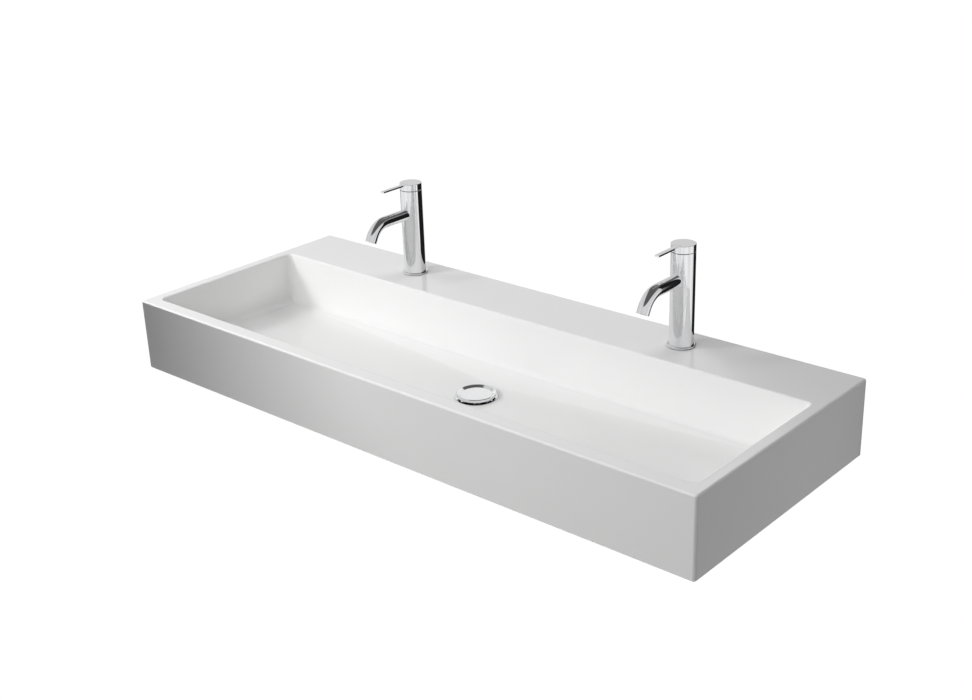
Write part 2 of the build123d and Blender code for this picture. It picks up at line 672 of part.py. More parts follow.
def waste_body():
    """Flange with a dished seat, threaded tail, and a crossbar with a hub for the plug's guide."""
    flange_bottom = FLOOR_AT_DRAIN - FLANGE_RECESS_DEPTH + WASTE_SEAL_THICKNESS
    groove_top = -BOTTOM_SEAL_THICKNESS - BACKNUT_HEIGHT
    shell = turned([
        (WASTE_BORE_R, WASTE_TAIL_BOTTOM),
        (WASTE_TAIL_R, WASTE_TAIL_BOTTOM),
        (WASTE_TAIL_R, groove_top - WASTE_GROOVE),
        (WASTE_GROOVE_R, groove_top - WASTE_GROOVE),
        (WASTE_GROOVE_R, groove_top),
        (WASTE_TAIL_R, groove_top),
        (WASTE_TAIL_R, flange_bottom),
        (WASTE_FLANGE_R, flange_bottom),
        (WASTE_FLANGE_R, FLOOR_AT_DRAIN),
        (WASTE_DISH_R, FLOOR_AT_DRAIN),
        (WASTE_DISH_R, WASTE_DISH_FLOOR),
        (WASTE_TAIL_R + 1.0, WASTE_DISH_FLOOR),
        (WASTE_BORE_R, WASTE_DISH_FLOOR - 3.0),
    ])
    half = WASTE_BAR_WIDTH / 2
    reach = (-WASTE_BORE_R - THROUGH, WASTE_BORE_R + THROUGH)
    heights = (WASTE_BAR_TOP - WASTE_BAR_HEIGHT, WASTE_BAR_TOP)
    cross = block(reach, (-half, half), heights) + block((-half, half), reach, heights)
    cross += rod(WASTE_HUB_R, *heights)
    return shell + cross - rod(GUIDE_R + FIT, heights[0] - THROUGH, heights[1] + THROUGH)


def waste_top_seal():
    """Flat seal under the flange."""
    low = FLOOR_AT_DRAIN - FLANGE_RECESS_DEPTH
    return ring(WASTE_SEAL_R, WASTE_SEAL_BORE_R, low, low + WASTE_SEAL_THICKNESS)


def waste_bottom_seal():
    """Thick seal between the basin and the backnut."""
    return ring(BOTTOM_SEAL_R, WASTE_TAIL_R + FIT, -BOTTOM_SEAL_THICKNESS, 0)


def waste_backnut():
    """Hexagonal nut that clamps the waste."""
    top = -BOTTOM_SEAL_THICKNESS
    nut = hexagon(BACKNUT_FLATS, top - BACKNUT_HEIGHT, top)
    return nut - rod(WASTE_TAIL_R + FIT, top - BACKNUT_HEIGHT - THROUGH, top + THROUGH)


def click_guide():
    """Sleeve in the hub, in which the plug's stem slides and latches."""
    low = WASTE_BAR_TOP - WASTE_BAR_HEIGHT
    body = rod(GUIDE_R, GUIDE_BOTTOM, WASTE_BAR_TOP) + rod(GUIDE_HEAD_R, WASTE_BAR_TOP, GUIDE_TOP)
    body += hexagon(2 * GUIDE_HEAD_R - 1.0, low - 3.0, low)
    return body - rod(STEM_R + STEM_RUNNING, GUIDE_BOTTOM - THROUGH, GUIDE_TOP + THROUGH)


def plug_spring():
    """Coil spring that lifts the plug, between the guide and the plug's boss."""
    clear = SPRING_WIRE / 2 + 0.1
    low = GUIDE_TOP + clear
    high = PLUG_BOTTOM - PLUG_BOSS_DEPTH - clear
    radius = SPRING_R - SPRING_WIRE / 2
    path = Helix(pitch=(high - low) / SPRING_TURNS, height=high - low, radius=radius)
    wire = sweep(Plane(origin=path @ 0, z_dir=path % 0) * Circle(SPRING_WIRE / 2), path=path)
    return Pos(0, 0, low) * wire


def plug_cap():
    """Dished push plug with a boss for its stem."""
    dish_floor = PLUG_TOP - PLUG_DISH_DEPTH
    body = turned([
        (0, PLUG_BOTTOM),
        (PLUG_R, PLUG_BOTTOM),
        (PLUG_R, PLUG_TOP - PLUG_EDGE),
        (PLUG_R - PLUG_EDGE, PLUG_TOP),
        (PLUG_R - PLUG_RIM, PLUG_TOP),
        (PLUG_DISH_R, dish_floor),
        (0, dish_floor),
    ])
    body += rod(PLUG_BOSS_R, PLUG_BOTTOM - PLUG_BOSS_DEPTH, PLUG_BOTTOM)
    body -= ring(PLUG_SEAL_R, PLUG_SEAL_BORE_R, PLUG_BOTTOM - THROUGH, PLUG_BOTTOM + PLUG_SEAL_GROOVE)
    return body - rod(STEM_R + FIT, PLUG_BOTTOM - PLUG_BOSS_DEPTH - THROUGH, PLUG_BOTTOM)


def plug_seal():
    """Rubber ring let into the underside of the plug."""
    low = WASTE_DISH_FLOOR + PLUG_TRAVEL + PLUG_SEAL_SEAT_GAP
    return ring(PLUG_SEAL_R - FIT, PLUG_SEAL_BORE_R + FIT, low, PLUG_BOTTOM + PLUG_SEAL_GROOVE)


def plug_stem():
    """Stem of the plug."""
    return rod(STEM_R, STEM_BOTTOM, PLUG_BOTTOM)


TAP_PIECES = (
    base_seal, base_ring, column, inlet_block, inlet_nipples, feed_tubes, mounting_stud, fixing_pad,
    fixing_plate, fixing_nut, spout, aerator_housing, aerator_insert, cartridge_seals, cartridge_body,
    fixed_disc, moving_disc, turret, cross_pin, spindle, cartridge_nut, cartridge_cover, handle_cap,
    lever, grub_screw,
)

WASTE_PIECES = (
    waste_body, waste_top_seal, waste_bottom_seal, waste_backnut, click_guide, plug_spring, plug_cap,
    plug_seal, plug_stem,
)


def main():
    """Write every sub-part in its place."""
    os.makedirs("parts", exist_ok=True)
    export_step(basin(), "parts/basin.step")
    for make in TAP_PIECES:
        piece = make()
        for name, side in (("left", -1), ("right", 1)):
            place = Pos(side * TAP_SPACING / 2, -TAP_FROM_WALL, RIM_Z)
            export_step(place * piece, f"parts/{name}_{make.__name__}.step")
    for make in WASTE_PIECES:
        export_step(Pos(0, -DRAIN_FROM_WALL, BASE_Z) * make(), f"parts/{make.__name__}.step")


main()
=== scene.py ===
"""Double washbasin with two single-lever taps: finishes, fine pieces, light and camera."""

import json
import logging
import math
from dataclasses import dataclass
from enum import Enum

import bmesh
import bpy
from mathutils import Matrix, Vector


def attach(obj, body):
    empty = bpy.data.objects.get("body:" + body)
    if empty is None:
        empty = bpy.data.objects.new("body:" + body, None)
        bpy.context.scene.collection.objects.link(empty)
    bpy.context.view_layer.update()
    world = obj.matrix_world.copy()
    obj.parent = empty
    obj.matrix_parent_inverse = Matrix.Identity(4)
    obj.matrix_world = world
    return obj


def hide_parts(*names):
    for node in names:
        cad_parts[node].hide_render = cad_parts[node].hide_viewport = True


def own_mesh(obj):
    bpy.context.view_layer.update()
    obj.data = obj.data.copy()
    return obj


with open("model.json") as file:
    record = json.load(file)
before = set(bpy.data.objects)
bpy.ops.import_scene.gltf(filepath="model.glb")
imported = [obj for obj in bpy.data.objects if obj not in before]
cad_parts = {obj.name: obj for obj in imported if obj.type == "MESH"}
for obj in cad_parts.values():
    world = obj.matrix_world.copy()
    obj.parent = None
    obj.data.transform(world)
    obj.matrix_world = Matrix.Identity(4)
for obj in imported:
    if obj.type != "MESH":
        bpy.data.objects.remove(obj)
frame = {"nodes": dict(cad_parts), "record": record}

log = logging.getLogger("washbasin")

Output = bpy.types.NodeSocket
Source = Output | float | tuple[float, ...]

PHOTO_WIDTH_PX = 972
MILLIMETRE = 0.001
SAME_PLACE = 1e-7
FULL_TURN = 2 * math.pi
QUARTER_TURN = math.radians(90)
SHARP_ANGLE = math.radians(30)
BEVEL_STEPS = 4
WHITE = (1.0, 1.0, 1.0, 1.0)


class Slot(Enum):
    """The record's material slots."""

    GLAZE = "glaze"
    CHROME = "chrome"
    BRASS = "brass"
    COPPER = "copper"
    STEEL = "steel"
    RUBBER = "rubber"
    WHITE_PLASTIC = "white_plastic"
    GREY_PLASTIC = "grey_plastic"
    DISC_CERAMIC = "disc_ceramic"


class Side(Enum):
    """The two taps, with the sign of their place along the basin."""

    LEFT = -1
    RIGHT = 1

    @property
    def prefix(self) -> str:
        """The start of the names of this tap's pieces."""
        return self.name.lower()


class Wiring:
    """A node tree being wired, with short calls that add nodes and join them."""

    # The sockets of a Mix node share their names, so they are reached by number.
    MIX_SHARE, MIX_FIRST, MIX_SECOND, MIX_RESULT = 0, 6, 7, 2
    RANGE_INPUTS = ("Value", "From Min", "From Max", "To Min", "To Max")
    NOISE_DETAIL = 2.0

    def __init__(self, tree: bpy.types.NodeTree) -> None:
        """Starts with an empty tree.

        Args:
            tree: The node tree of a material, a world or a group.
        """
        self.tree = tree
        tree.nodes.clear()

    def node(self, kind: str, **settings: object) -> bpy.types.Node:
        """Adds a node.

        Args:
            kind: The node's type name.
            **settings: Properties of the node.

        Returns:
            The new node.
        """
        node = self.tree.nodes.new(kind)
        for name, value in settings.items():
            setattr(node, name, value)
        return node

    def feed(self, node: bpy.types.Node, socket: str | int, source: Source) -> None:
        """Sets a socket to a value, or joins it to another node's output.

        Args:
            node: The node that takes the value.
            socket: The name or number of its input.
            source: A number, a tuple or an output socket.
        """
        target = node.inputs[socket]
        if isinstance(source, bpy.types.NodeSocket):
            self.tree.links.new(source, target)
        else:
            target.default_value = source

    def math(
        self, operation: str, first: Source, second: Source = 0.0, clamp: bool = False
    ) -> Output:
        """Works one number out of two, as a sum, a product or a comparison.

        Args:
            operation: Blender's name of the operation.
            first: A number or an output.
            second: A number or an output, which some operations don't read.
            clamp: Whether the result is kept between 0 and 1.

        Returns:
            The output with the result.
        """
        node = self.node("ShaderNodeMath", operation=operation, use_clamp=clamp)
        self.feed(node, 0, first)
        self.feed(node, 1, second)
        return node.outputs[0]

    def blend(self, share: Source, first: Source, second: Source) -> Output:
        """Blends two colours.

        Args:
            share: How much of the second colour shows.
            first: A colour or an output.
            second: A colour or an output.

        Returns:
            The output with the blended colour.
        """
        node = self.node("ShaderNodeMix", data_type="RGBA")
        self.feed(node, self.MIX_SHARE, share)
        self.feed(node, self.MIX_FIRST, first)
        self.feed(node, self.MIX_SECOND, second)
        return node.outputs[self.MIX_RESULT]

    def noise(self, place: Output, scale: Source, detail: float = NOISE_DETAIL) -> Output:
        """Adds smooth noise.

        Args:
            place: The output with the coordinates.
            scale: The noise's scale, in cells to a metre.
            detail: How many finer octaves it has.

        Returns:
            The output with the noise, between 0 and 1.
        """
        node = self.node("ShaderNodeTexNoise")
        self.feed(node, "Vector", place)
        self.feed(node, "Scale", scale)
        self.feed(node, "Detail", detail)
        return node.outputs[0]

    def bump(self, height: Output, strength: Source, distance: float) -> Output:
        """Turns a height into a normal.

        Args:
            height: The output with the height.
            strength: How much of the relief shows.
            distance: The height of a full step, in metres.

        Returns:
            The output with the normal.
        """
        node = self.node("ShaderNodeBump")
        self.feed(node, "Strength", strength)
        self.feed(node, "Distance", distance)
        self.feed(node, "Height", height)
        return node.outputs[0]

    def spread(self, value: Output, low: float, high: float) -> Output:
        """Maps a value between 0 and 1 to a range.

        Args:
            value: The output with the value.
            low: What 0 becomes.
            high: What 1 becomes.

        Returns:
            The output with the mapped value.
        """
        return self.ramp(value, (0.0, 1.0, low, high))

    def ramp(
        self, value: Output, ends: tuple[float, float, float, float], kind: str = "LINEAR"
    ) -> Output:
        """Turns a value from one number into another.

        Args:
            value: The output that is read.
            ends: Where the change starts and ends, and the numbers before and after it.
            kind: How it goes between them, in Blender's name.

        Returns:
            The output with the result.
        """
        node = self.node("ShaderNodeMapRange", interpolation_type=kind)
        for socket, source in zip(self.RANGE_INPUTS, (value, *ends)):
            self.feed(node, socket, source)
        return node.outputs[0]

    def object_place(self) -> Output:
        """The place in object coordinates."""
        return self.node("ShaderNodeTexCoord").outputs["Object"]

    def axes(self, place: Output) -> bpy.types.bpy_prop_collection:
        """The outputs X, Y and Z of a place."""
        node = self.node("ShaderNodeSeparateXYZ")
        self.feed(node, 0, place)
        return node.outputs

    def mixed(self, share: Source, first: Output, second: Output) -> Output:
        """Mixes two shaders.

        Args:
            share: How much of the second one shows.
            first: The output of a shader.
            second: The output of a shader.

        Returns:
            The output of the mixed shader.
        """
        node = self.node("ShaderNodeMixShader")
        for number, source in enumerate((share, first, second)):
            self.feed(node, number, source)
        return node.outputs[0]

    def show(self, shader: Output, kind: str = "ShaderNodeOutputMaterial") -> None:
        """Joins a shader to the end of the tree.

        Args:
            shader: The output of the shader.
            kind: The type name of the tree's last node.
        """
        self.feed(self.node(kind), "Surface", shader)


def begin_material(name: str) -> tuple[bpy.types.Material, Wiring]:
    """Starts a material with an empty node tree, and returns both it and its wiring."""
    material = bpy.data.materials.new(name)
    material.use_nodes = True
    return material, Wiring(material.node_tree)


def colour(red: float, green: float, blue: float) -> tuple[float, float, float, float]:
    """A colour with full cover, from its linear red, green and blue."""
    return (red, green, blue, 1.0)


def grey(tone: float) -> tuple[float, float, float, float]:
    """A grey of a linear tone."""
    return colour(tone, tone, tone)


class EffectGroups:
    """Node groups that several finishes share, each built once."""

    MOTTLE_DETAIL = 3.0
    GRAIN_STEP = 0.0002
    LINE_STEP = 0.0001

    def __init__(self) -> None:
        """Builds the groups."""
        self.mottle = self._mottle()
        self.tool_marks = self._tool_marks()

    @staticmethod
    def _begin(
        name: str, inputs: dict[str, float], outputs: dict[str, str]
    ) -> tuple[bpy.types.NodeTree, Wiring, bpy.types.Node, bpy.types.Node]:
        """Starts a group with its sockets.

        Args:
            name: The group's name.
            inputs: The default of each number that it takes.
            outputs: The socket type of each output.

        Returns:
            The group, its wiring, and its input and output nodes.
        """
        group = bpy.data.node_groups.new(name, "ShaderNodeTree")
        wiring = Wiring(group)
        new_socket = group.interface.new_socket
        for label, value in inputs.items():
            socket = new_socket(label, in_out="INPUT", socket_type="NodeSocketFloat")
            socket.default_value = value
        for label, kind in outputs.items():
            new_socket(label, in_out="OUTPUT", socket_type=kind)
        return group, wiring, wiring.node("NodeGroupInput"), wiring.node("NodeGroupOutput")

    def _mottle(self) -> bpy.types.NodeTree:
        """Faint uneven patches with finer grain, and the normal that the grain gives."""
        group, wiring, given, out = self._begin(
            "mottle",
            {"Patch Scale": 6.0, "Grain Scale": 300.0, "Grain Height": 0.1},
            {"Patches": "NodeSocketFloat", "Normal": "NodeSocketVector"},
        )
        place = wiring.object_place()
        patches, grain = (
            wiring.noise(place, given.outputs[scale], self.MOTTLE_DETAIL)
            for scale in ("Patch Scale", "Grain Scale")
        )
        normal = wiring.bump(grain, given.outputs["Grain Height"], self.GRAIN_STEP)
        wiring.feed(out, "Patches", patches)
        wiring.feed(out, "Normal", normal)
        return group

    def _tool_marks(self) -> bpy.types.NodeTree:
        """Fine lines left by a cutting tool or a drawing die, round or along the upright axis."""
        group, wiring, given, out = self._begin(
            "tool_marks",
            {"Across": 20.0, "Along": 4000.0, "Depth": 0.2},
            {"Lines": "NodeSocketFloat", "Normal": "NodeSocketVector"},
        )
        stretch = wiring.node("ShaderNodeCombineXYZ")
        for axis, scale in (("X", "Across"), ("Y", "Across"), ("Z", "Along")):
            wiring.feed(stretch, axis, given.outputs[scale])
        mapping = wiring.node("ShaderNodeMapping")
        wiring.feed(mapping, "Vector", wiring.object_place())
        wiring.feed(mapping, "Scale", stretch.outputs[0])
        lines = wiring.noise(mapping.outputs[0], 1.0)
        wiring.feed(out, "Lines", lines)
        wiring.feed(out, "Normal", wiring.bump(lines, given.outputs["Depth"], self.LINE_STEP))
        return group


@dataclass(frozen=True)
class Finish:
    """A finish of the washbasin, which builds its own material.

    Attributes:
        slot: The record's slot.
        tone: The main colour, linear.
        shade: The colour of the patches or lines.
        roughness: The smallest and the largest roughness.
    """

    slot: Slot
    tone: tuple[float, float, float]
    shade: tuple[float, float, float]
    roughness: tuple[float, float]

    def material(self, groups: EffectGroups) -> bpy.types.Material:
        """Builds the material.

        Args:
            groups: The shared node groups.

        Returns:
            The material, named after the slot.
        """
        material, wiring = begin_material(self.slot.value + "_finish")
        shader = wiring.node("ShaderNodeBsdfPrincipled")
        wiring.show(shader.outputs[0])
        self.wire(wiring, shader, groups)
        return material

    def wire(self, wiring: Wiring, shader: bpy.types.Node, groups: EffectGroups) -> None:
        """Wires the colour and the roughness, which each finish does in its own way."""
        raise NotImplementedError

    @staticmethod
    def group(wiring: Wiring, tree: bpy.types.NodeTree, **values: float) -> bpy.types.Node:
        """Places a shared group with its own values.

        Args:
            wiring: The material's wiring.
            tree: The shared group.
            **values: The group's inputs, with underscores for spaces.

        Returns:
            The group's node.
        """
        node = wiring.node("ShaderNodeGroup", node_tree=tree)
        for name, value in values.items():
            wiring.feed(node, name.replace("_", " ").title(), value)
        return node


@dataclass(frozen=True)
class Mottled(Finish):
    """A moulded, glazed or plated finish with faint patches and a fine grain."""

    patch_scale: float = 6.0
    grain_scale: float = 400.0
    grain_height: float = 0.05
    metallic: float = 0.0
    specular: float = 0.5
    coat: float = 0.0
    coat_roughness: float = 0.03

    def wire(self, wiring: Wiring, shader: bpy.types.Node, groups: EffectGroups) -> None:
        """Wires patches of colour and roughness and a grain in the normal.

        Args:
            wiring: The material's wiring.
            shader: Its Principled shader.
            groups: The shared node groups.
        """
        mottle = self.group(
            wiring,
            groups.mottle,
            patch_scale=self.patch_scale,
            grain_scale=self.grain_scale,
            grain_height=self.grain_height,
        )
        base = wiring.blend(mottle.outputs["Patches"], colour(*self.tone), colour(*self.shade))
        wiring.feed(shader, "Base Color", base)
        rough = wiring.spread(mottle.outputs["Patches"], *self.roughness)
        wiring.feed(shader, "Roughness", rough)
        wiring.feed(shader, "Normal", mottle.outputs["Normal"])
        wiring.feed(shader, "Metallic", self.metallic)
        wiring.feed(shader, "Specular IOR Level", self.specular)
        wiring.feed(shader, "Coat Weight", self.coat)
        wiring.feed(shader, "Coat Roughness", self.coat_roughness)


@dataclass(frozen=True)
class Glaze(Mottled):
    """White glaze, left off the ground back and base faces, where the fired body shows."""

    bare: tuple[float, float, float] = (0.80, 0.77, 0.71)
    bare_roughness: float = 0.75
    back_line: float = -0.0006
    base_line: float = -0.0846

    def wire(self, wiring: Wiring, shader: bpy.types.Node, groups: EffectGroups) -> None:
        """Wires the glaze and the bare faces.

        Args:
            wiring: The material's wiring.
            shader: Its Principled shader.
            groups: The shared node groups.
        """
        super().wire(wiring, shader, groups)
        place = wiring.axes(wiring.object_place())
        at_back = wiring.math("GREATER_THAN", place["Y"], self.back_line)
        at_base = wiring.math("LESS_THAN", place["Z"], self.base_line)
        bare = wiring.math("MAXIMUM", at_back, at_base)
        glazed = shader.inputs["Base Color"].links[0].from_socket
        wiring.feed(shader, "Base Color", wiring.blend(bare, glazed, colour(*self.bare)))
        smooth = shader.inputs["Roughness"].links[0].from_socket
        extra = wiring.math("MULTIPLY", bare, self.bare_roughness)
        wiring.feed(shader, "Roughness", wiring.math("MAXIMUM", smooth, extra))
        wiring.feed(shader, "Coat Weight", wiring.math("SUBTRACT", self.coat, bare, clamp=True))


@dataclass(frozen=True)
class Worked(Finish):
    """A metal that was turned, drawn or rolled, with fine lines from the tool."""

    across: float = 20.0
    along: float = 3000.0
    depth: float = 0.15

    def wire(self, wiring: Wiring, shader: bpy.types.Node, groups: EffectGroups) -> None:
        """Wires the lines into the colour, the roughness and the normal.

        Args:
            wiring: The material's wiring.
            shader: Its Principled shader.
            groups: The shared node groups.
        """
        marks = self.group(
            wiring, groups.tool_marks, across=self.across, along=self.along, depth=self.depth
        )
        base = wiring.blend(marks.outputs["Lines"], colour(*self.shade), colour(*self.tone))
        wiring.feed(shader, "Base Color", base)
        wiring.feed(shader, "Roughness", wiring.spread(marks.outputs["Lines"], *self.roughness))
        wiring.feed(shader, "Normal", marks.outputs["Normal"])
        wiring.feed(shader, "Metallic", 1.0)


FINISHES = (
    Glaze(
        Slot.GLAZE, (0.93, 0.93, 0.925), (0.905, 0.907, 0.905), (0.2, 0.27),
        patch_scale=3.0, grain_scale=160.0, grain_height=0.05, coat=0.5, coat_roughness=0.05,
    ),
    Mottled(
        Slot.CHROME, (0.90, 0.90, 0.91), (0.865, 0.87, 0.885), (0.045, 0.07),
        patch_scale=30.0, grain_scale=900.0, grain_height=0.01, metallic=1.0,
    ),
    Worked(Slot.BRASS, (0.74, 0.58, 0.31), (0.62, 0.46, 0.22), (0.24, 0.34)),
    Worked(
        Slot.COPPER, (0.75, 0.45, 0.31), (0.60, 0.33, 0.21), (0.22, 0.38), across=900.0, along=12.0
    ),
    Mottled(
        Slot.STEEL, (0.62, 0.62, 0.63), (0.52, 0.53, 0.56), (0.28, 0.42),
        patch_scale=90.0, grain_scale=1500.0, grain_height=0.12, metallic=1.0,
    ),
    Mottled(
        Slot.RUBBER, (0.05, 0.05, 0.05), (0.035, 0.035, 0.037), (0.55, 0.7),
        patch_scale=60.0, grain_scale=2500.0, grain_height=0.25, specular=0.3,
    ),
    Mottled(
        Slot.WHITE_PLASTIC, (0.86, 0.86, 0.84), (0.82, 0.82, 0.80), (0.35, 0.45),
        patch_scale=70.0, grain_scale=2200.0, grain_height=0.12,
    ),
    Mottled(
        Slot.GREY_PLASTIC, (0.45, 0.46, 0.47), (0.40, 0.41, 0.42), (0.38, 0.5),
        patch_scale=70.0, grain_scale=2200.0, grain_height=0.15,
    ),
    Mottled(
        Slot.DISC_CERAMIC, (0.90, 0.89, 0.85), (0.84, 0.83, 0.79), (0.12, 0.2),
        patch_scale=200.0, grain_scale=3000.0, grain_height=0.05,
    ),
)


class Wardrobe:
    """All finishes as materials, and the calls that dress nodes and pieces in them."""

    def __init__(self, finishes: tuple[Finish, ...]) -> None:
        """Builds every material once.

        Args:
            finishes: The finishes of the object.
        """
        groups = EffectGroups()
        self.materials = {finish.slot: finish.material(groups) for finish in finishes}

    def dress(self, piece: bpy.types.Object, slot: Slot) -> None:
        """Gives a piece or a node one finish.

        Args:
            piece: The object to dress.
            slot: The finish's slot.
        """
        piece.data.materials.clear()
        piece.data.materials.append(self.materials[slot])

    def dress_nodes(self, record: dict, nodes: dict[str, bpy.types.Object]) -> None:
        """Dresses every carried-over node in the finish of its slot.

        Args:
            record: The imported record.
            nodes: The nodes by name.
        """
        for subpart in record["subparts"]:
            self.dress(nodes[subpart["node"]], Slot(subpart["material_slot"]))
        log.info("%d nodes dressed", len(nodes))


def new_piece(name: str, mesh: bmesh.types.BMesh) -> bpy.types.Object:
    """Makes an object of a finished bmesh, at the origin.

    Args:
        name: The object's name.
        mesh: Its shape, which is freed.

    Returns:
        The object, linked to the scene.
    """
    data = bpy.data.meshes.new(name)
    mesh.to_mesh(data)
    mesh.free()
    piece = bpy.data.objects.new(name, data)
    bpy.context.scene.collection.objects.link(piece)
    return piece


def mm(*values: float) -> tuple[float, ...]:
    """Millimetres as metres."""
    return tuple(value * MILLIMETRE for value in values)


def level_square(half: float) -> bmesh.types.BMesh:
    """A level square of one face about the origin, from half the length of its sides."""
    mesh = bmesh.new()
    bmesh.ops.create_grid(mesh, x_segments=1, y_segments=1, size=half)
    return mesh


def bevel_corners(mesh: bmesh.types.BMesh, width: float) -> None:
    """Rounds every edge where two faces meet at a sharp angle.

    Args:
        mesh: The mesh to change.
        width: The bevel's width, in metres.
    """
    sharp = [
        edge for edge in mesh.edges if edge.is_manifold and edge.calc_face_angle() > SHARP_ANGLE
    ]
    bmesh.ops.bevel(
        mesh, geom=sharp, offset=width, offset_type="OFFSET", segments=BEVEL_STEPS, profile=0.5,
        affect="EDGES", material=-1, clamp_overlap=True,
    )


def turned(
    profile: list[tuple[float, float]], centre: Vector, steps: int = 96
) -> bmesh.types.BMesh:
    """Turns a profile once round an upright axis, and closes its seam and its poles.

    Args:
        profile: Radius and height of each corner, in metres, from one pole to the other, or
            round a loop that ends where it starts.
        centre: The point on the axis at height 0.
        steps: How many segments go round.

    Returns:
        The closed mesh, with its normals outwards.
    """
    mesh = bmesh.new()
    corners = [mesh.verts.new(centre + Vector((radius, 0, height))) for radius, height in profile]
    lines = [mesh.edges.new(pair) for pair in zip(corners, corners[1:])]
    bmesh.ops.spin(
        mesh, geom=corners + lines, cent=centre, axis=(0, 0, 1), angle=FULL_TURN,
        steps=steps, use_merge=True,
    )
    bmesh.ops.remove_doubles(mesh, verts=mesh.verts, dist=SAME_PLACE)
    bmesh.ops.recalc_face_normals(mesh, faces=mesh.faces)
    return mesh


def threaded(
    radius: float, root: float, low: float, high: float, pitch: float
) -> list[tuple[float, float]]:
    """The corners of a thread's outline, from its top down.

    Args:
        radius: The thread's outer radius.
        root: The radius at the bottom of its grooves.
        low: Its lower end.
        high: Its upper end.
        pitch: The height of one turn.

    Returns:
        Radius and height of each corner.
    """
    turns = int((high - low) / pitch)
    half_flat = pitch / 8
    corners = [(root, high)]
    for turn in range(turns):
        crest = high - (turn + 0.5) * pitch
        corners.append((radius, crest + half_flat))
        corners.append((radius, crest - half_flat))
        corners.append((root, high - (turn + 1) * pitch))
    return corners


class Workshop:
    """Finishes meshes into pieces: object, finish, body and the node that it stands for."""

    def __init__(self, wardrobe: Wardrobe) -> None:
        """Keeps the wardrobe.

        Args:
            wardrobe: The finishes.
        """
        self.wardrobe = wardrobe

    def add(
        self, name: str, mesh: bmesh.types.BMesh, body: str, slot: Slot, replaces: str
    ) -> bpy.types.Object:
        """Makes a piece of a mesh.

        Args:
            name: The piece's name.
            mesh: Its finished shape.
            body: The body that it rides on.
            slot: Its finish.
            replaces: The node that it stands for.

        Returns:
            The piece.
        """
        for face in mesh.faces:
            face.smooth = True
        piece = new_piece(name, mesh)
        normals = piece.modifiers.new("even_normals", "WEIGHTED_NORMAL")
        normals.keep_sharp = True
        self.wardrobe.dress(piece, slot)
        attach(piece, body)
        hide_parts(replaces)
        log.info("%s: %d faces", name, len(piece.data.polygons))
        return piece


